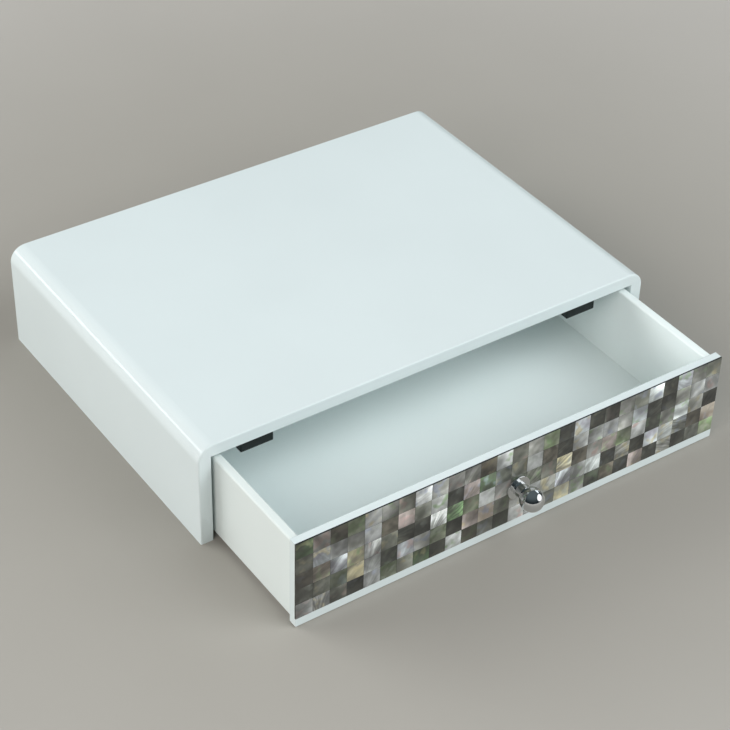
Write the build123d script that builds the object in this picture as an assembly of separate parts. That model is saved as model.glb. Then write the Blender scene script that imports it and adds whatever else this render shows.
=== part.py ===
"""A low lacquered box with one drawer: mosaic-clad front, ball knob, rounded case."""
from build123d import *
from math import sqrt
import os

# Everything is in millimetres. The origin is the middle of the case's underside,
# +Z is up, and the drawer opens towards -Y. The drawer is drawn pulled out.

# Shell mosaic on the drawer's front
tile_pitch = 12.0
tile_columns = 27
tile_full_rows = 4
tile_cut_row = 11.5
tile_joint = 0.2
tile_thickness = 0.7
bond_thickness = 0.3

# Drawer front board
front_thickness = 6.8
front_strip = 6.5
front_edge_easing = 0.8

# Gaps round the closed front
front_side_gap = 1.2
front_top_gap = 0.5
front_floor_gap = 0.5

# Case boards
case_depth = 248.5
side_thickness = 9.0
top_thickness = 9.0
back_thickness = 6.0
bottom_thickness = 3.5
case_rebate = 4.5
bottom_setback = 1.2
roundover_radius = 11.5
case_edge_easing = 1.0
mouth_edge_easing = 0.6

# Drawer box
wall_thickness = 6.0
wall_top_gap = 3.2
wall_overhang = 1.4
wall_edge_easing = 1.2
floor_thickness = 3.5
drawer_rebate = 3.0
runner_gap = 0.3
rear_gap = 3.0
pull_out = 91.4

# Stop blocks under the top
stop_width = 23.6
stop_depth = 14.0
stop_drop = 13.8
stop_from_side = 24.9
stop_gap = 0.35
stop_easing = 0.8

# Knob and its screw
ball_diameter = 16.0
knob_reach = 22.0
neck_diameter = 10.0
flange_diameter = 17.0
flange_thickness = 1.4
flange_easing = 0.5
screw_diameter = 4.0
thread_clearance = 0.05
hole_clearance = 0.3
screw_bite = 7.5
bore_spare = 1.0
head_diameter = 8.0
head_height = 2.4
head_easing = 0.9
washer_diameter = 9.5
washer_thickness = 0.8

# How near to a given place an edge or a corner has to lie to be picked
pick_tolerance = 0.01

# Sizes that follow from the ones above
inlay_depth = tile_thickness + bond_thickness
mosaic_height = tile_pitch * tile_full_rows + tile_cut_row
front_width = tile_pitch * tile_columns
front_height = front_strip + mosaic_height
opening_width = front_width + 2 * front_side_gap
opening_height = front_floor_gap + front_height + front_top_gap
case_width = opening_width + 2 * side_thickness
case_height = opening_height + top_thickness
case_front = -case_depth / 2
case_rear = case_depth / 2
inner_rear = case_rear - back_thickness
front_face = case_front - pull_out
front_inside = front_face + front_thickness
drawer_length = case_depth - back_thickness - rear_gap
drawer_rear = front_face + drawer_length
drawer_width = front_width - 2 * wall_overhang
drawer_base = bottom_thickness + runner_gap
wall_top = opening_height - wall_top_gap
knob_height = front_floor_gap + front_height / 2


def block(x, y, z):
    """A box between two limits on each axis, each given as (low, high)."""
    size = [high - low for low, high in (x, y, z)]
    middle = [(high + low) / 2 for low, high in (x, y, z)]
    return Pos(*middle) * Box(*size)


def along_y(y_start, shape):
    """Stand a shape drawn along +Z so that it runs along -Y from y_start, at the knob's height."""
    return Pos(0, y_start, knob_height) * Rot(X=90) * shape


def edges_at(part, direction, **place):
    """Straight edges that run along a direction and lie at the given coordinates."""
    found = part.edges().filter_by(direction)
    for axis, value in place.items():
        found = found.filter_by(lambda e: abs(getattr(e.center(), axis) - value) < pick_tolerance)
    return found


def case_shell():
    """Top and sides in one piece: rounded long edges, eased ends and an eased mouth."""
    shell = block(
        (-case_width / 2, case_width / 2), (case_front, case_rear), (0, case_height)
    )
    for side in (-1, 1):
        corner = edges_at(shell, Axis.Y, X=side * case_width / 2, Z=case_height)
        shell = fillet(corner, roundover_radius)
    ends = shell.edges().filter_by_position(Axis.Y, case_front, case_front)
    ends += shell.edges().filter_by_position(Axis.Y, case_rear, case_rear)
    ends = ends.filter_by(lambda e: e.center().Z > pick_tolerance)
    shell = fillet(ends, case_edge_easing)
    mouth_half = opening_width / 2
    shell -= block((-mouth_half, mouth_half), (case_front, case_rear), (0, opening_height))
    mouth = edges_at(shell, Axis.X, Y=case_front, Z=opening_height)
    for side in (-1, 1):
        mouth += edges_at(shell, Axis.Z, X=side * mouth_half, Y=case_front)
    return fillet(mouth, mouth_edge_easing)


def back_board():
    half = opening_width / 2 + case_rebate
    return block((-half, half), (inner_rear, case_rear), (0, opening_height + case_rebate))


def bottom_board():
    half = opening_width / 2 + case_rebate
    start = case_front + front_thickness + bottom_setback
    return block((-half, half), (start, inner_rear), (0, bottom_thickness))


def case_parts():
    """The five boards of the case; the back and the bottom lie in rebates."""
    shell = case_shell()
    back = back_board()
    bottom = bottom_board()
    wide = case_width
    top = shell & block((-wide, wide), (-case_depth, case_depth), (opening_height, case_height))
    left = shell & block((-wide, 0), (-case_depth, case_depth), (0, opening_height))
    right = shell & block((0, wide), (-case_depth, case_depth), (0, opening_height))
    return {
        "case_top": top - back,
        "case_left_side": left - back - bottom,
        "case_right_side": right - back - bottom,
        "case_back": back,
        "case_bottom": bottom,
    }


def stop_block(side):
    """A block under the top that the drawer's front closes on and its back wall catches."""
    outer = opening_width / 2 - stop_from_side
    inner = outer - stop_width
    start = case_front + front_thickness + stop_gap
    spans = sorted((side * inner, side * outer))
    stop = block(spans, (start, start + stop_depth), (opening_height - stop_drop, opening_height))
    rim = stop.edges().filter_by_position(Axis.Z, opening_height, opening_height)
    return chamfer([e for e in stop.edges() if e not in rim], stop_easing)


def screw_hole():
    """Clearance for the knob's screw, through the front and its mosaic."""
    hole = Cylinder(screw_diameter / 2 + hole_clearance, 2 * front_thickness)
    return along_y(front_inside, hole)


def front_board():
    """White board with a shallow rebate for the mosaic above a plain strip."""
    half = front_width / 2
    low = front_floor_gap
    high = low + front_height
    board = block((-half, half), (front_face, front_inside), (low, high))
    eased = edges_at(board, Axis.X, Y=front_inside)
    eased += edges_at(board, Axis.X, Y=front_face, Z=low)
    eased += edges_at(board, Axis.Z, Y=front_inside)
    for side in (-1, 1):
        eased += edges_at(board, Axis.Y, X=side * half, Z=low)
    board = fillet(eased, front_edge_easing)
    inlay = block((-half, half), (front_face, front_face + inlay_depth), (low + front_strip, high))
    return board - inlay - screw_hole()


def mosaic_bond():
    """Dark bonding layer between the board and the tiles."""
    half = front_width / 2
    deep = front_face + inlay_depth
    low = front_floor_gap + front_strip
    bond = block((-half, half), (deep - bond_thickness, deep), (low, low + mosaic_height))
    return bond - screw_hole()


def mosaic_row(row):
    """One row of square tiles, counted from the top; the last row is cut to fit."""
    top = front_floor_gap + front_height - row * tile_pitch
    height = tile_pitch if row < tile_full_rows else tile_cut_row
    tiles = []
    for column in range(tile_columns):
        left = -front_width / 2 + column * tile_pitch
        tile = block(
            (left + tile_joint / 2, left + tile_pitch - tile_joint / 2),
            (front_face, front_face + tile_thickness),
            (top - height + tile_joint / 2, top - tile_joint / 2),
        )
        reach = screw_diameter / 2 + hole_clearance
        beside = left - reach < 0 < left + tile_pitch + reach
        level = top - height - reach < knob_height < top + reach
        tiles.append(tile - screw_hole() if beside and level else tile)
    return Compound(children=tiles)


def side_wall(side):
    """Drawer side: rebated for the floor along its foot and for the back wall at its end."""
    outer = drawer_width / 2
    inner = outer - wall_thickness
    spans = sorted((side * inner, side * outer))
    wall = block(spans, (front_inside, drawer_rear), (drawer_base, wall_top))
    wall = fillet(edges_at(wall, Axis.Y, Z=wall_top), wall_edge_easing)
    return wall - floor_board() - back_wall()


def back_wall():
    """Drawer back, let into the side walls."""
    half = drawer_width / 2 - wall_thickness + drawer_rebate
    start = drawer_rear - wall_thickness
    wall = block((-half, half), (start, drawer_rear), (drawer_base, wall_top))
    wall = fillet(edges_at(wall, Axis.X, Z=wall_top), wall_edge_easing)
    return wall - floor_board()


def floor_board():
    """Drawer floor, flush with the feet of the walls."""
    half = drawer_width / 2 - wall_thickness + drawer_rebate
    rear = drawer_rear - wall_thickness + drawer_rebate
    return block((-half, half), (front_inside, rear), (drawer_base, drawer_base + floor_thickness))


def knob():
    """Turned knob: flange, neck and ball, drawn along +Z and laid along -Y."""
    ball = ball_diameter / 2
    neck = neck_diameter / 2
    flange = flange_diameter / 2
    centre = knob_reach - ball
    joint = centre - sqrt(ball**2 - neck**2)
    outline = Polyline((0, 0), (flange, 0), (flange, flange_thickness), (neck, flange_thickness))
    outline += Line((neck, flange_thickness), (neck, joint))
    outline += ThreePointArc((neck, joint), (ball, centre), (0, knob_reach))
    outline += Line((0, knob_reach), (0, 0))
    section = make_face(outline)
    rim = section.vertices().filter_by(lambda v: abs(v.X - flange) < pick_tolerance)
    section = chamfer(rim.sort_by(Axis.Y)[-1], flange_easing)
    turned = revolve(Plane.XZ * section, Axis.Z)
    bore_depth = screw_bite + bore_spare
    bore = Pos(0, 0, bore_depth / 2) * Cylinder(screw_diameter / 2 + thread_clearance, bore_depth)
    return along_y(front_face, turned - bore)


def knob_washer():
    ring = Cylinder(washer_diameter / 2, washer_thickness)
    ring -= Cylinder(screw_diameter / 2 + hole_clearance, washer_thickness)
    return along_y(front_inside + washer_thickness / 2, ring)


def knob_screw():
    """Pan-head screw from inside the drawer into the knob."""
    shank = washer_thickness + front_thickness + screw_bite
    head = Pos(0, 0, -head_height / 2) * Cylinder(head_diameter / 2, head_height)
    dome = head.edges().filter_by_position(Axis.Z, -head_height, -head_height)
    head = chamfer(dome, head_easing)
    body = head + Pos(0, 0, shank / 2) * Cylinder(screw_diameter / 2, shank)
    return along_y(front_inside + washer_thickness, body)


def all_parts():
    parts = case_parts()
    for side, name in ((-1, "left"), (1, "right")):
        parts[f"stop_block_{name}"] = stop_block(side)
        parts[f"drawer_{name}_wall"] = side_wall(side)
    parts["drawer_front"] = front_board()
    parts["drawer_back_wall"] = back_wall()
    parts["drawer_floor"] = floor_board()
    parts["mosaic_bond"] = mosaic_bond()
    for row in range(tile_full_rows + 1):
        parts[f"mosaic_row_{row + 1}"] = mosaic_row(row)
    parts["knob"] = knob()
    parts["knob_washer"] = knob_washer()
    parts["knob_screw"] = knob_screw()
    return parts


os.makedirs("parts", exist_ok=True)
for name, shape in all_parts().items():
    export_step(shape, f"parts/{name}.step")
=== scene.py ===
import math
import random

import bmesh
import bpy
from mathutils import Color, Matrix, Vector


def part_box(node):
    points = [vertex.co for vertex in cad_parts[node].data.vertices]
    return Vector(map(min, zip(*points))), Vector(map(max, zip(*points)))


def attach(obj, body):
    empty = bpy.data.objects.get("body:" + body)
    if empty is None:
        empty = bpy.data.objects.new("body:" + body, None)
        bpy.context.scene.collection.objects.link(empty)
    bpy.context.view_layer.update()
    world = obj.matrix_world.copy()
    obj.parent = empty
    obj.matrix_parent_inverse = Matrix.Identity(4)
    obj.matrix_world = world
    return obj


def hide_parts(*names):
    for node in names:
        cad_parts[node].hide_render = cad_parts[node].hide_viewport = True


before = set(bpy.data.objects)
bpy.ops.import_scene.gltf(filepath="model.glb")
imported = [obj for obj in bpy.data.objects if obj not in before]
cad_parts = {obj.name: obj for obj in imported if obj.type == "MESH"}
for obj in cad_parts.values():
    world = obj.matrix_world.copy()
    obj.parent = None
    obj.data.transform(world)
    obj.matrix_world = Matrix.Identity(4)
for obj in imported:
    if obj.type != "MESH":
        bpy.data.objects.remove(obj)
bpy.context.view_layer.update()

MM = 0.001
touching = 0.0001 * MM
rng = random.Random(27)

# Mosaic
mosaic_rows = 5
tile_columns = 27
tile_joint = 0.2 * MM
seen_joint = 0.05 * MM
tile_corner = 0.25 * MM
tile_bevel = 0.04 * MM
tile_shift = 0.03 * MM
tile_sink = 0.03 * MM
tile_lean = 0.0022
corner_steps = 3
# Tiles of the first columns at the left end are painted darker: painted shade for the dark room they
# reflect
painted_shade_columns = 6
painted_shade_depth = 0.4

# Grain of a tile. Each tile cuts the noise at a level of its own, and its lines fan out from a point
# some way off, at a slant in degrees. Its clouds, its streaks and the slope of its light differ in
# strength from tile to tile.
grain_levels = 9
fan_reaches = (10 * MM, 14 * MM, 22 * MM, 60 * MM)
steep_slants = (15, 75)
all_slants = (-90, 90)
line_fineness = 0.35
wave_reach = 2.4 * MM
shell_gains = (0.97, 1.2)
shell_contrasts = (0.25, 0.9)
shell_streaks = (0.05, 0.12, 0.25, 0.6)
streak_shares = (7, 4, 2, 1)
light_slope = 0.13 / MM
blotch_strength = 0.16
silk_strength = 0.05
glint_share = 0.62
glint_tone = 130

# Common colours of polished shell, as (share, main tone, second tone) in display values
shell_tones = [
    (18, (144, 148, 146), (168, 172, 172)),
    (13, (118, 121, 115), (144, 146, 143)),
    (13, (88, 92, 84), (114, 117, 109)),
    (10, (40, 43, 40), (60, 62, 57)),
    (6, (62, 60, 53), (92, 89, 80)),
    (9, (172, 180, 183), (150, 152, 160)),
    (8, (90, 103, 78), (120, 127, 110)),
    (4, (82, 105, 76), (70, 80, 66)),
    (6, (150, 142, 139), (122, 116, 111)),
    (5, (196, 191, 158), (160, 157, 138)),
    (5, (192, 200, 199), (170, 177, 176)),
    (4, (120, 112, 102), (138, 133, 123)),
]

# Pale colours that glint in places on any tile, less on those darker than glint_tone
shell_glints = [(130, 160, 116), (164, 140, 136), (136, 144, 164), (174, 164, 128), (162, 168, 164)]

# Cells of each texture in a metre, where its fineness is 1
wave_cells = 110
cloud_cells = 95
blotch_cells = 210
layer_cells = 620
silk_cells = 2400
patch_cells = 130
glint_cells = 170
paint_cloud_cells = 9
sheen_cells = 24
peel_cells = 420
resin_cells = 900
haze_cells = 300
turning_cells = 900
brushed_cells = 1400
pore_cells = 1900
fade_cells = 160
paper_cells = 7

# How much finer a texture runs along each axis; below 1 it is drawn out
sheen_fineness = (1, 0.4, 1)
turning_fineness = (1, 12, 1)
brushed_fineness = (1, 1, 14)

# The part of its range that a noise mostly keeps to
usual_low = 0.3
usual_high = 0.7

# Height of each surface's relief
peel_relief = 0.01 * MM
resin_relief = 0.02 * MM
shell_relief = 0.35 * MM
turning_relief = 0.0015 * MM
brushed_relief = 0.004 * MM
pore_relief = 0.05 * MM

# Lacquer: its deepest tone beside its palest, and how its roughness varies about the given one
deepest_tone = 0.975
smoothest = 0.94
roughest = 1.08

# Knob, where the frame's boxes don't give the size
ball_radius = 8.0 * MM
neck_radius = 5.0 * MM
neck_cove = 0.5 * MM
flange_thickness = 1.4 * MM
flange_rounding = 0.45 * MM
flange_seat = 0.2 * MM
bore_spare = 0.3 * MM
turned_segments = 96
rounding_steps = 6
ball_steps = 40

# Screw and washer
screw_radius = 2.0 * MM
hole_clearance = 0.3 * MM
head_radius = 4.0 * MM
head_height = 2.4 * MM
head_crown = 0.5 * MM
head_rounding = 0.7 * MM
crown_steps = 20
head_rounding_steps = 5
recess_reach = 2.4 * MM
recess_depth = 1.3 * MM
recess_inner_half = 0.6 * MM
recess_outer_half = 0.4 * MM
thread_pitch = 0.7 * MM
thread_depth = 0.35 * MM
thread_steps = 6
washer_easing = 0.12 * MM

# Camera, fitted to the photograph
camera_place = Vector((-0.6236, -0.9338, 0.8645))
camera_azimuth = math.radians(-35.18)
camera_elevation = math.radians(38.01)
camera_roll = math.radians(1.63)
camera_lens = 101.0
camera_sensor = 36.0

# Studio: the floor's painted shadow round the box and its painted shade far off, under the lamps, lie
# between these distances from the origin, and the dim room goes from its horizon to its ceiling
# between these upward parts of a direction
floor_half = 30.0
painted_shadow_reach = (0.2, 0.8)
painted_shade_reach = (1.2, 3.2)
room_change = (0.1, 0.95)
lamp_target = Vector((0, -0.05, 0.04))

# Tints of the lamps
neutral = (1.0, 1.0, 0.99)
fresh = (0.96, 1.0, 1.03)
cool = (0.92, 1.0, 1.05)
warm = (1.08, 1.0, 0.97)


def srgb(red, green, blue):
    """Linear RGBA of a colour given as 0 to 255 display values."""
    colour = Color((red / 255, green / 255, blue / 255)).from_srgb_to_scene_linear()
    return (*colour, 1.0)


# Node helpers


def new_material(name):
    material = bpy.data.materials.new(name)
    material.use_nodes = True
    tree = material.node_tree
    return material, tree, tree.nodes["Principled BSDF"]


def feed(tree, socket, value):
    """Link a socket to another, or set it to a constant."""
    if isinstance(value, bpy.types.NodeSocket):
        tree.links.new(value, socket)
    elif value is not None:
        socket.default_value = value


def coordinates(tree, fineness=(1, 1, 1), source=None):
    """Object coordinates, or another vector, scaled along each axis."""
    if source is None:
        source = tree.nodes.new("ShaderNodeTexCoord").outputs["Object"]
    mapping = tree.nodes.new("ShaderNodeMapping")
    mapping.inputs["Scale"].default_value = fineness
    tree.links.new(source, mapping.inputs["Vector"])
    return mapping.outputs["Vector"]


def noise(tree, vector, cells, detail=2.0):
    node = tree.nodes.new("ShaderNodeTexNoise")
    feed(tree, node.inputs["Vector"], vector)
    node.inputs["Scale"].default_value = cells
    node.inputs["Detail"].default_value = detail
    return node.outputs["Fac"]


def calc(tree, operation, first, second=None):
    node = tree.nodes.new("ShaderNodeMath")
    node.operation = operation
    feed(tree, node.inputs[0], first)
    feed(tree, node.inputs[1], second)
    return node.outputs["Value"]


def total(tree, *values):
    """Sum of several values."""
    result = values[0]
    for value in values[1:]:
        result = calc(tree, "ADD", result, value)
    return result


def span(tree, value, low, high, to_low=0.0, to_high=1.0):
    """Map a value smoothly from one span to another, clamped."""
    node = tree.nodes.new("ShaderNodeMapRange")
    node.interpolation_type = "SMOOTHSTEP"
    feed(tree, node.inputs["Value"], value)
    node.inputs["From Min"].default_value = low
    node.inputs["From Max"].default_value = high
    node.inputs["To Min"].default_value = to_low
    node.inputs["To Max"].default_value = to_high
    return node.outputs["Result"]


def vary(tree, value, to_low=0.0, to_high=1.0):
    """Map the usual range of a noise onto another span."""
    return span(tree, value, usual_low, usual_high, to_low, to_high)


def swing(tree, value, reach):
    """Turn a noise value into one that swings evenly either side of zero."""
    return calc(tree, "MULTIPLY", vary(tree, value, -1.0, 1.0), reach)


def mix(tree, factor, first, second):
    node = tree.nodes.new("ShaderNodeMix")
    node.data_type = "RGBA"
    feed(tree, node.inputs[0], factor)
    feed(tree, node.inputs[6], first)
    feed(tree, node.inputs[7], second)
    return node.outputs[2]


def bump(tree, height, distance, strength=1.0):
    node = tree.nodes.new("ShaderNodeBump")
    node.inputs["Strength"].default_value = strength
    node.inputs["Distance"].default_value = distance
    feed(tree, node.inputs["Height"], height)
    return node.outputs["Normal"]


def attribute(tree, name, output="Color"):
    node = tree.nodes.new("ShaderNodeAttribute")
    node.attribute_name = name
    return node.outputs[output]


def split(tree, vector):
    node = tree.nodes.new("ShaderNodeSeparateXYZ")
    tree.links.new(vector, node.inputs["Vector"])
    return [node.outputs[axis] for axis in "XYZ"]


def join(tree, x, y, z):
    node = tree.nodes.new("ShaderNodeCombineXYZ")
    for axis, value in zip("XYZ", (x, y, z)):
        feed(tree, node.inputs[axis], value)
    return node.outputs["Vector"]


# Materials


def lacquer_material(name, tone, roughness):
    """Sprayed white lacquer: faint clouds in the tone and the gloss, a soft orange-peel surface."""
    material, tree, shader = new_material(name)
    place = coordinates(tree)
    clouds = noise(tree, place, paint_cloud_cells)
    deeper = tuple(c * deepest_tone for c in tone[:3]) + (1.0,)
    feed(tree, shader.inputs["Base Color"], mix(tree, vary(tree, clouds), tone, deeper))
    sheen = noise(tree, coordinates(tree, sheen_fineness), sheen_cells)
    feed(tree, shader.inputs["Roughness"],
         vary(tree, sheen, roughness * smoothest, roughness * roughest))
    peel = noise(tree, place, peel_cells, detail=1)
    feed(tree, shader.inputs["Normal"], bump(tree, peel, peel_relief))
    shader.inputs["IOR"].default_value = 1.5
    return material


def resin_material():
    """Dark resin that the tiles are bedded in."""
    material, tree, shader = new_material("dark_resin")
    mottle = noise(tree, coordinates(tree), resin_cells, detail=3)
    feed(tree, shader.inputs["Base Color"], mix(tree, mottle, srgb(24, 28, 28), srgb(40, 44, 43)))
    feed(tree, shader.inputs["Roughness"], vary(tree, mottle, 0.25, 0.45))
    feed(tree, shader.inputs["Normal"], bump(tree, mottle, resin_relief))
    return material


def shell_fan(tree, right, high):
    """Distance and turn about the point that a tile's lines fan out from, and that point's reach."""
    fan_right, fan_high, fan_reach = split(tree, attribute(tree, "fan", "Vector"))
    from_right = calc(tree, "SUBTRACT", right, fan_right)
    from_high = calc(tree, "SUBTRACT", high, fan_high)
    radius = calc(tree, "SQRT", total(tree, calc(tree, "MULTIPLY", from_right, from_right),
                                      calc(tree, "MULTIPLY", from_high, from_high)))
    turn = calc(tree, "MULTIPLY", calc(tree, "ARCTAN2", from_high, from_right), fan_reach)
    return radius, turn, fan_reach


def shell_light(tree, clouds, layers, silk, blotches, sloping):
    """How much lighter or darker each place of a tile is, in steps that double the light."""
    contrast, streaking, slope = split(tree, attribute(tree, "traits", "Vector"))
    light = total(tree, swing(tree, clouds, contrast), swing(tree, blotches, blotch_strength),
                  calc(tree, "MULTIPLY", sloping, slope),
                  swing(tree, layers, streaking), swing(tree, silk, silk_strength))
    return calc(tree, "POWER", 2.0, light)


def shell_colour(tree, right, high, level):
    """Patches of the tile's two tones, with a paler colour that glints in places."""
    shifted = calc(tree, "ADD", level, 0.5)
    patches = noise(tree, join(tree, right, high, shifted), patch_cells, detail=1)
    glints = noise(tree, join(tree, high, right, shifted), glint_cells, detail=1)
    colour = mix(tree, span(tree, patches, 0.35, 0.65),
                 attribute(tree, "tone"), attribute(tree, "tint"))
    return mix(tree, span(tree, glints, 0.5, 0.72), colour, attribute(tree, "glint"))


def shell_material():
    """Mother-of-pearl under clear lacquer: blotches of colour, clouds and silky lines that fan out."""
    material, tree, shader = new_material("shell")
    right, high, level = split(tree, attribute(tree, "grain", "Vector"))
    flat = join(tree, right, high, level)
    radius, turn, fan_reach = shell_fan(tree, right, high)
    waves = calc(tree, "MULTIPLY", noise(tree, flat, wave_cells, detail=1), wave_reach)
    along = calc(tree, "MULTIPLY", radius, line_fineness)
    lines = join(tree, along, total(tree, turn, waves), level)
    drawn_out = coordinates(tree, (line_fineness, 1, 1), lines)

    clouds = noise(tree, lines, cloud_cells, detail=1)
    blotches = noise(tree, flat, blotch_cells)
    layers = noise(tree, drawn_out, layer_cells)
    silk = noise(tree, drawn_out, silk_cells)
    sloping = total(tree, calc(tree, "SUBTRACT", radius, fan_reach), waves)

    lit = tree.nodes.new("ShaderNodeVectorMath")
    lit.operation = "SCALE"
    tree.links.new(shell_colour(tree, right, high, level), lit.inputs[0])
    tree.links.new(shell_light(tree, clouds, layers, silk, blotches, sloping), lit.inputs["Scale"])
    front = attribute(tree, "tone", "Alpha")
    feed(tree, shader.inputs["Base Color"],
         mix(tree, front, srgb(24, 27, 27), lit.outputs["Vector"]))

    feed(tree, shader.inputs["Roughness"], vary(tree, layers, 0.3, 0.5))
    shader.inputs["Metallic"].default_value = 0.2
    shader.inputs["Coat Weight"].default_value = 1.0
    shader.inputs["Coat Roughness"].default_value = 0.03
    feed(tree, shader.inputs["Normal"], bump(tree, clouds, shell_relief, strength=0.5))
    return material


def chrome_material():
    """Polished plating with a faint haze and the fine rings of turning."""
    material, tree, shader = new_material("chrome")
    haze = noise(tree, coordinates(tree), haze_cells, detail=4)
    rings = noise(tree, coordinates(tree, turning_fineness), turning_cells)
    shader.inputs["Metallic"].default_value = 1.0
    feed(tree, shader.inputs["Base Color"],
         mix(tree, haze, srgb(219, 222, 225), srgb(227, 230, 231)))
    feed(tree, shader.inputs["Roughness"], vary(tree, haze, 0.035, 0.08))
    feed(tree, shader.inputs["Normal"], bump(tree, rings, turning_relief))
    return material


def steel_material():
    """Zinc-plated steel with a fine brushed grain."""
    material, tree, shader = new_material("steel")
    brushed = noise(tree, coordinates(tree, brushed_fineness), brushed_cells, detail=3)
    shader.inputs["Metallic"].default_value = 1.0
    feed(tree, shader.inputs["Base Color"],
         mix(tree, brushed, srgb(168, 170, 172), srgb(196, 198, 198)))
    feed(tree, shader.inputs["Roughness"], vary(tree, brushed, 0.22, 0.36))
    feed(tree, shader.inputs["Normal"], bump(tree, brushed, brushed_relief))
    return material


def foam_material():
    """Closed-cell black foam with a fine pebbled skin."""
    material, tree, shader = new_material("stop_foam")
    place = coordinates(tree)
    cells = tree.nodes.new("ShaderNodeTexVoronoi")
    tree.links.new(place, cells.inputs["Vector"])
    cells.inputs["Scale"].default_value = pore_cells
    pores = span(tree, cells.outputs["Distance"], 0.0, 0.55)
    fade = noise(tree, place, fade_cells, detail=3)
    feed(tree, shader.inputs["Base Color"], mix(tree, fade, srgb(18, 24, 24), srgb(30, 38, 37)))
    feed(tree, shader.inputs["Roughness"], vary(tree, fade, 0.62, 0.8))
    feed(tree, shader.inputs["Normal"], bump(tree, pores, pore_relief, strength=0.8))
    return material


def floor_material():
    """Plain backdrop paper, with a painted shadow round the box and painted shade far off under the
    lamps.
    """
    material, tree, shader = new_material("studio_floor")
    place = coordinates(tree)
    mottle = noise(tree, place, paper_cells, detail=4)
    length = tree.nodes.new("ShaderNodeVectorMath")
    length.operation = "LENGTH"
    tree.links.new(place, length.inputs[0])
    away = length.outputs["Value"]
    # Painted shadow: the paper is darker near the box
    near = mix(tree, mottle, srgb(156, 154, 147), srgb(161, 159, 152))
    far = mix(tree, mottle, srgb(182, 180, 175), srgb(187, 185, 180))
    paper = mix(tree, span(tree, away, *painted_shadow_reach), near, far)
    # Painted shade: the paper is darker again far off, where the lamps stand
    feed(tree, shader.inputs["Base Color"],
         mix(tree, span(tree, away, *painted_shade_reach), paper, srgb(146, 144, 140)))
    feed(tree, shader.inputs["Roughness"], vary(tree, mottle, 0.8, 0.9))
    shader.inputs["Specular IOR Level"].default_value = 0.15
    return material


# Shapes


def finish_piece(mesh, material, body, node):
    """Turn a mesh into a piece that rides on its body and stands for its node."""
    mesh.materials.append(material)
    piece = bpy.data.objects.new(mesh.name, mesh)
    bpy.context.scene.collection.objects.link(piece)
    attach(piece, body)
    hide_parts(node)


def dress(node, material):
    """Give a carried-over node its material."""
    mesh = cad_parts[node].data
    mesh.materials.clear()
    mesh.materials.append(material)


def arc(centre, radius, start, stop, steps):
    """Points along an arc in two dimensions, angles in degrees."""
    points = []
    for step in range(steps + 1):
        angle = math.radians(start + (stop - start) * step / steps)
        points.append((centre[0] + radius * math.cos(angle), centre[1] + radius * math.sin(angle)))
    return points


def bridge(bm, lower, upper):
    """Close the band between two rings that have the same number of corners."""
    count = len(lower)
    for step in range(count):
        after = (step + 1) % count
        bm.faces.new((lower[step], lower[after], upper[after], upper[step]))


def cone(bm, tip, ring):
    """Close the end of a ring on a single corner."""
    count = len(ring)
    for step in range(count):
        bm.faces.new((tip, ring[(step + 1) % count], ring[step]))


def lathe(name, profile, centre, segments, shape=None):
    """Turn a profile of (radius, reach) about the -Y axis through a centre.

    A shape function, if given, changes the radius and reach of each point by its angle.
    """
    mesh = bpy.data.meshes.new(name)
    bm = bmesh.new()
    rings = []
    for radius, reach in profile:
        ring = []
        for step in range(segments if radius > touching else 1):
            angle = math.tau * step / segments
            out, deep = shape(radius, reach, angle) if shape else (radius, reach)
            ring.append(bm.verts.new(
                centre + Vector((out * math.cos(angle), -deep, out * math.sin(angle)))))
        rings.append(ring)
    for lower, upper in zip(rings, rings[1:]):
        if len(lower) == 1:
            cone(bm, lower[0], upper)
        elif len(upper) == 1:
            cone(bm, upper[0], lower)
        else:
            bridge(bm, lower, upper)
    bmesh.ops.remove_doubles(bm, verts=bm.verts, dist=touching)
    bmesh.ops.recalc_face_normals(bm, faces=bm.faces)
    bm.to_mesh(mesh)
    bm.free()
    mesh.shade_smooth()
    return mesh


# Mosaic


def tile_outline(width, height):
    """A square with small rounded corners, each a little out of true."""
    points = []
    for quarter, (across, along) in enumerate(((1, 1), (-1, 1), (-1, -1), (1, -1))):
        shift_x, shift_z = (rng.uniform(-tile_shift, tile_shift) for _ in range(2))
        centre = (across * (width / 2 - tile_corner) + shift_x,
                  along * (height / 2 - tile_corner) + shift_z)
        points += arc(centre, tile_corner, 90 * quarter, 90 * quarter + 90, corner_steps)
    return points


def split_sides(outline):
    """Add points along the straight sides of an outline, about half the screw's radius apart."""
    points = []
    for here, after in zip(outline, outline[1:] + outline[:1]):
        here, after = Vector(here), Vector(after)
        parts = max(1, round((after - here).length / screw_radius * 2))
        points += [tuple(here.lerp(after, part / parts)) for part in range(parts)]
    return points


def drill(bm, back, front, hole):
    """Close a tile's back and front round a hole for the screw, and give the hole's two rims."""
    radius = screw_radius + hole_clearance
    rims = []
    for ring in (back, front):
        rim = []
        for vert in ring:
            away = Vector((vert.co.x - hole.x, vert.co.z - hole.z)).normalized() * radius
            rim.append(bm.verts.new((hole.x + away.x, vert.co.y, hole.z + away.y)))
        rims.append(rim)
    back_rim, front_rim = rims
    bridge(bm, front, front_rim)
    bridge(bm, front_rim, back_rim)
    bridge(bm, back_rim, back)
    return rims


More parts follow.
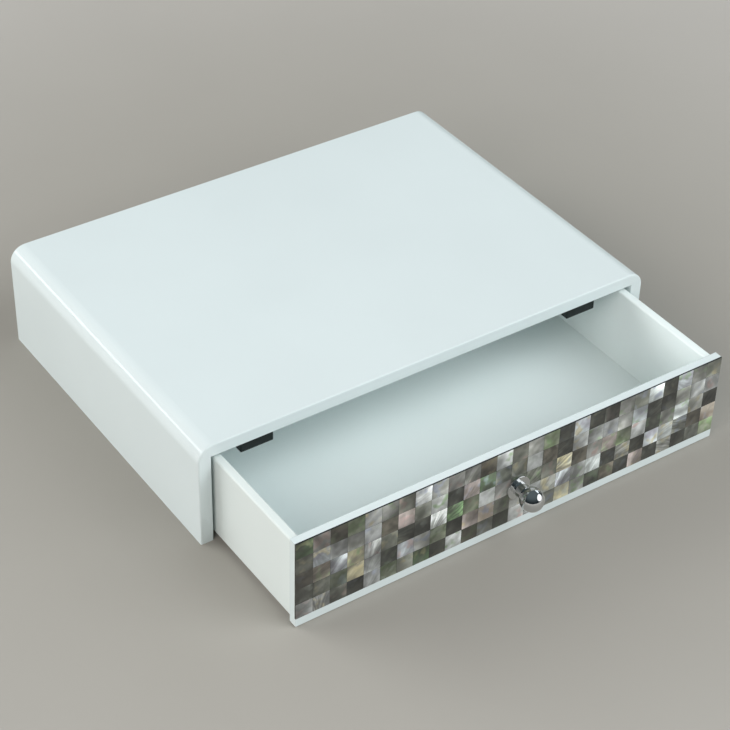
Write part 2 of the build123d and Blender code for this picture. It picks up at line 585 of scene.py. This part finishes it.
def add_tile(bm, layers, centre, width, height, depth, shade, hole=None):
    """One tile: bevelled front, straight sides, with its own grain direction and tones."""
    outline = tile_outline(width, height)
    if hole:
        outline = split_sides(outline)
    face_y = centre.y + rng.uniform(0, tile_sink)
    lean_x, lean_z = (rng.uniform(-tile_lean, tile_lean) for _ in range(2))
    inset = 1 - 2 * tile_bevel / width
    rings = []
    for scale, back in ((1.0, depth), (1.0, tile_bevel), (inset, 0.0)):
        ring = []
        for x, z in outline:
            lean = max(lean_x * x + lean_z * z, -tile_sink) if back < depth else 0.0
            ring.append(bm.verts.new((centre.x + x * scale, face_y + back + lean,
                                      centre.z + z * scale)))
        rings.append(ring)
    back, shoulder, front = rings
    bridge(bm, back, shoulder)
    bridge(bm, shoulder, front)
    if hole:
        back_rim, front_rim = drill(bm, back, front, hole)
        paint_tile(layers, centre, back + back_rim + shoulder, front + front_rim, shade)
    else:
        bm.faces.new(front)
        bm.faces.new(back[::-1])
        paint_tile(layers, centre, back + shoulder, front, shade)


def paint_tile(layers, centre, behind, front, shade):
    """Store the tile's grain, the fan of its lines, its colours and its traits on its corners.

    The alpha of its tone is 1 on the front and 0 behind it, where the resin's colour shows.
    """
    level = rng.uniform(0, grain_levels)
    slants = [rng.uniform(*limits) for limits in (steep_slants, steep_slants, all_slants)]
    turn = math.radians(rng.choice(slants))
    reach = rng.choice(fan_reaches)
    fan = Vector((-reach * math.cos(turn), -reach * math.sin(turn), reach))
    _, tone, tint = rng.choices(shell_tones, [share for share, _, _ in shell_tones])[0]
    # The tile's tones carry the painted shade of its column at the left end
    gain = rng.uniform(*shell_gains) * shade
    tone = Vector(tone) * gain
    tint = Vector(tint) * gain
    glint = tone.lerp(Vector(rng.choice(shell_glints)), glint_share * min(1.0, tone.y / glint_tone))
    contrast = rng.uniform(*shell_contrasts)
    streaking = rng.choices(shell_streaks, streak_shares)[0]
    slope = rng.uniform(-light_slope, light_slope)
    for verts, alpha in ((behind, 0.0), (front, 1.0)):
        for vert in verts:
            vert[layers["grain"]] = Vector((vert.co.x - centre.x, vert.co.z - centre.z, level))
            vert[layers["fan"]] = fan
            vert[layers["tone"]] = (*srgb(*tone)[:3], alpha)
            vert[layers["tint"]] = srgb(*tint)
            vert[layers["glint"]] = srgb(*glint)
            vert[layers["traits"]] = Vector((contrast, streaking, slope))


def mosaic_row(node, material):
    """All the tiles of one row, as one piece."""
    low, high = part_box(node)
    pitch = (high.x - low.x + tile_joint) / tile_columns
    height = high.z - low.z + tile_joint
    mesh = bpy.data.meshes.new(node + "_tiles")
    bm = bmesh.new()
    layers = {name: bm.verts.layers.float_vector.new(name) for name in ("grain", "fan", "traits")}
    layers |= {name: bm.verts.layers.float_color.new(name) for name in ("tone", "tint", "glint")}
    knob_low, knob_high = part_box("knob")
    axis = (knob_low + knob_high) / 2
    for column in range(tile_columns):
        middle_x = low.x - tile_joint / 2 + (column + 0.5) * pitch
        centre = Vector((middle_x, low.y, (low.z + high.z) / 2))
        drilled = abs(axis.x - centre.x) < pitch / 2 and abs(axis.z - centre.z) < height / 2
        # Painted shade: tiles get darker towards the left end
        shade = 1 - painted_shade_depth * max(0.0, 1 - column / painted_shade_columns)
        add_tile(bm, layers, centre, pitch - seen_joint, height - seen_joint,
                 high.y - low.y - tile_sink, shade, axis if drilled else None)
    bmesh.ops.recalc_face_normals(bm, faces=bm.faces)
    bm.to_mesh(mesh)
    bm.free()
    finish_piece(mesh, material, "drawer", node)


# Knob and its fixing


def turning_centre(node):
    """Where a turned node's axis leaves its end towards +Y, and the node's length and radius."""
    low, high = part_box(node)
    centre = Vector(((low.x + high.x) / 2, high.y, (low.z + high.z) / 2))
    return centre, high.y - low.y, (high.x - low.x) / 2


def knob_piece(material):
    """Flange, neck and ball turned in one, bored for the screw, with hollow transitions."""
    centre, reach, flange = turning_centre("knob")
    screw_low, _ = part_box("knob_screw")
    bore_end = centre.y - screw_low.y + bore_spare
    bore = screw_radius + touching
    ball_at = reach - ball_radius
    cove = neck_radius + neck_cove
    cove_at = ball_at - math.sqrt((ball_radius + neck_cove) ** 2 - cove ** 2)
    meet = math.degrees(math.atan2(cove_at - ball_at, cove))
    profile = [(0, bore_end), (bore, bore_end), (bore, 0), (flange - flange_seat, 0)]
    profile += arc((flange - flange_seat, flange_seat), flange_seat, -90, 0, corner_steps)[1:]
    profile += arc((flange - flange_rounding, flange_thickness - flange_rounding),
                   flange_rounding, 0, 90, rounding_steps)
    profile += arc((cove, flange_thickness + neck_cove), neck_cove, 270, 180, rounding_steps)
    profile += arc((cove, cove_at), neck_cove, 180, 180 + meet, rounding_steps)[:-1]
    profile += arc((0, ball_at), ball_radius, meet, 90, ball_steps)[:-1]
    profile.append((0, reach))
    mesh = lathe("knob_chrome", profile, centre, turned_segments)
    finish_piece(mesh, material, "drawer", "knob")


def cross_depth(radius, angle):
    """Depth of the cross recess: four slots that narrow and shoal outwards.

    Their walls slope from half of the slot's half width to one and a half of it.
    """
    beside = abs(radius * math.sin((angle + math.pi / 4) % (math.pi / 2) - math.pi / 4))
    outwards = radius / recess_reach
    half_width = recess_inner_half + (recess_outer_half - recess_inner_half) * outwards
    wall = min(1.0, max(0.0, 1.5 - beside / half_width))
    return recess_depth * wall * (1 - outwards ** 2)


def screw_shape(radius, reach, angle):
    """Press a cross recess into the head's crown and cut a thread into the shank."""
    if reach <= head_crown and radius < recess_reach:
        return radius, reach + cross_depth(radius, angle)
    if reach > head_height + thread_pitch:
        turn = (reach / thread_pitch - angle / math.tau) % 1.0
        return radius - thread_depth * abs(2 * turn - 1), reach
    return radius, reach


def screw_piece(material):
    """Pan-head screw: a crowned head with a cross recess, and a threaded shank."""
    centre, length, _ = turning_centre("knob_screw")
    flat = head_radius - head_rounding
    shank = length - head_height
    shares = [step / crown_steps for step in range(crown_steps + 1)]
    profile = [(flat * share, head_crown * share ** 2) for share in shares]
    profile += arc((flat, head_crown + head_rounding), head_rounding, -90, 0,
                   head_rounding_steps)[1:]
    profile += [(head_radius, head_height), (screw_radius, head_height)]
    steps = int(shank / thread_pitch * thread_steps)
    profile += [(screw_radius, head_height + shank * (step + 1) / steps) for step in range(steps)]
    profile.append((0, length))
    mesh = lathe("knob_screw_head", profile, centre, turned_segments // 2, screw_shape)
    finish_piece(mesh, material, "drawer", "knob_screw")


def washer_piece(material):
    """Flat washer with eased edges."""
    centre, thickness, outer = turning_centre("knob_washer")
    inner = screw_radius + hole_clearance
    profile = [
        (inner + washer_easing, 0), (outer - washer_easing, 0),
        (outer, washer_easing), (outer, thickness - washer_easing),
        (outer - washer_easing, thickness), (inner + washer_easing, thickness),
        (inner, thickness - washer_easing), (inner, washer_easing),
    ]
    mesh = lathe("knob_washer_ring", profile + profile[:1], centre, turned_segments)
    finish_piece(mesh, material, "drawer", "knob_washer")


# Studio


def studio_floor(material):
    mesh = bpy.data.meshes.new("studio_floor")
    corners = [(x * floor_half, y * floor_half, 0) for x, y in ((-1, -1), (1, -1), (1, 1), (-1, 1))]
    mesh.from_pydata(corners, [], [(0, 1, 2, 3)])
    mesh.materials.append(material)
    floor = bpy.data.objects.new("studio_floor", mesh)
    bpy.context.scene.collection.objects.link(floor)


def softbox(name, direction, distance, width, height, radiance, tint, mirrored=True,
            round_shape=False):
    """A soft area lamp that faces the box from a direction, at a given radiance."""
    area = width * height * (math.pi / 4 if round_shape else 1)
    light = bpy.data.lights.new(name, "AREA")
    light.shape = "ELLIPSE" if round_shape else "RECTANGLE"
    light.size = width
    light.size_y = height
    light.energy = radiance * area * math.pi
    light.color = tint
    lamp = bpy.data.objects.new(name, light)
    bpy.context.scene.collection.objects.link(lamp)
    towards = Vector(direction).normalized()
    lamp.location = lamp_target + towards * distance
    lamp.rotation_mode = "QUATERNION"
    lamp.rotation_quaternion = towards.to_track_quat("Z", "Y")
    lamp.visible_camera = False
    lamp.visible_glossy = mirrored


def studio_lamps():
    """Three lamps that the gloss mirrors, and three broad fills that it doesn't."""
    softbox("key_softbox", (0.68, -0.62, 0.40), distance=3.0, width=3.0, height=2.4,
            radiance=1.35, tint=neutral, round_shape=True)
    softbox("right_strip", (0.77, 0.16, 0.617), distance=3.0, width=1.8, height=0.9,
            radiance=1.3, tint=cool, round_shape=True)
    softbox("back_left_strip", (-0.61, 0.70, 0.34), distance=3.0, width=1.1, height=0.4,
            radiance=4.0, tint=cool)
    softbox("back_left_fill", (-0.60, 0.646, 0.436), distance=3.0, width=2.8, height=1.6,
            radiance=4.5, tint=neutral, mirrored=False)
    softbox("right_fill", (0.38, -0.62, 0.68), distance=3.6, width=2.6, height=2.6,
            radiance=3.8, tint=fresh, mirrored=False)
    softbox("left_fill", (-0.74, -0.42, 0.50), distance=3.6, width=2.6, height=2.6,
            radiance=2.9, tint=warm, mirrored=False)


def studio_world(fill, horizon, ceiling, background):
    """Even fill from all round, the dim room that gloss reflects, and the seen background."""
    world = bpy.data.worlds.new("studio")
    bpy.context.scene.world = world
    world.use_nodes = True
    tree = world.node_tree
    light = tree.nodes["Background"]
    light.inputs["Color"].default_value = (1, 1, 1, 1)
    light.inputs["Strength"].default_value = fill
    rays = tree.nodes.new("ShaderNodeLightPath")
    height = split(tree, tree.nodes.new("ShaderNodeTexCoord").outputs["Generated"])[2]
    room = mix(tree, span(tree, height, *room_change), horizon, ceiling)
    result = light.outputs["Background"]
    for ray, colour in (("Is Glossy Ray", room), ("Is Camera Ray", background)):
        seen = tree.nodes.new("ShaderNodeBackground")
        feed(tree, seen.inputs["Color"], colour)
        choice = tree.nodes.new("ShaderNodeMixShader")
        tree.links.new(rays.outputs[ray], choice.inputs["Fac"])
        tree.links.new(result, choice.inputs[1])
        tree.links.new(seen.outputs["Background"], choice.inputs[2])
        result = choice.outputs["Shader"]
    tree.links.new(result, tree.nodes["World Output"].inputs["Surface"])


def studio_camera():
    data = bpy.data.cameras.new("camera")
    data.lens = camera_lens
    data.sensor_width = camera_sensor
    camera = bpy.data.objects.new("camera", data)
    bpy.context.scene.collection.objects.link(camera)
    level = math.cos(camera_elevation)
    back = Vector((math.sin(camera_azimuth) * level, -math.cos(camera_azimuth) * level,
                   math.sin(camera_elevation)))
    turn = (-back).to_track_quat("-Z", "Y").to_matrix() @ Matrix.Rotation(camera_roll, 3, "Z")
    camera.matrix_world = Matrix.Translation(camera_place) @ turn.to_4x4()
    bpy.context.scene.camera = camera


# Assembly

# The case and the drawer's front are glossy, the rest of the lacquer is duller, and the drawer's
# floor, right wall and back wall get a paler copy of it than its left wall, as painted light
gloss = lacquer_material("gloss_lacquer", srgb(215, 227, 228), roughness=0.1)
satin = lacquer_material("satin_lacquer", srgb(223, 233, 231), roughness=0.22)
# Painted light: a paler copy of the same white lacquer for the drawer's inside
painted_light_lining = lacquer_material("painted_light_lacquer", srgb(234, 245, 244), roughness=0.38)
for node in ("case_top", "case_left_side", "case_right_side", "drawer_front"):
    dress(node, gloss)
for node in ("case_back", "case_bottom", "drawer_left_wall"):
    dress(node, satin)
for node in ("drawer_floor", "drawer_right_wall", "drawer_back_wall"):
    dress(node, painted_light_lining)
dress("mosaic_bond", resin_material())
foam = foam_material()
for node in ("stop_block_left", "stop_block_right"):
    dress(node, foam)
steel = steel_material()
screw_piece(steel)
washer_piece(steel)
shell = shell_material()
for row in range(mosaic_rows):
    mosaic_row(f"mosaic_row_{row + 1}", shell)
knob_piece(chrome_material())

studio_floor(floor_material())
studio_lamps()
studio_world(fill=0.15, horizon=srgb(40, 47, 49), ceiling=srgb(92, 101, 103),
             background=srgb(172, 171, 166))
studio_camera()
bpy.context.scene.view_settings.view_transform = "Standard"
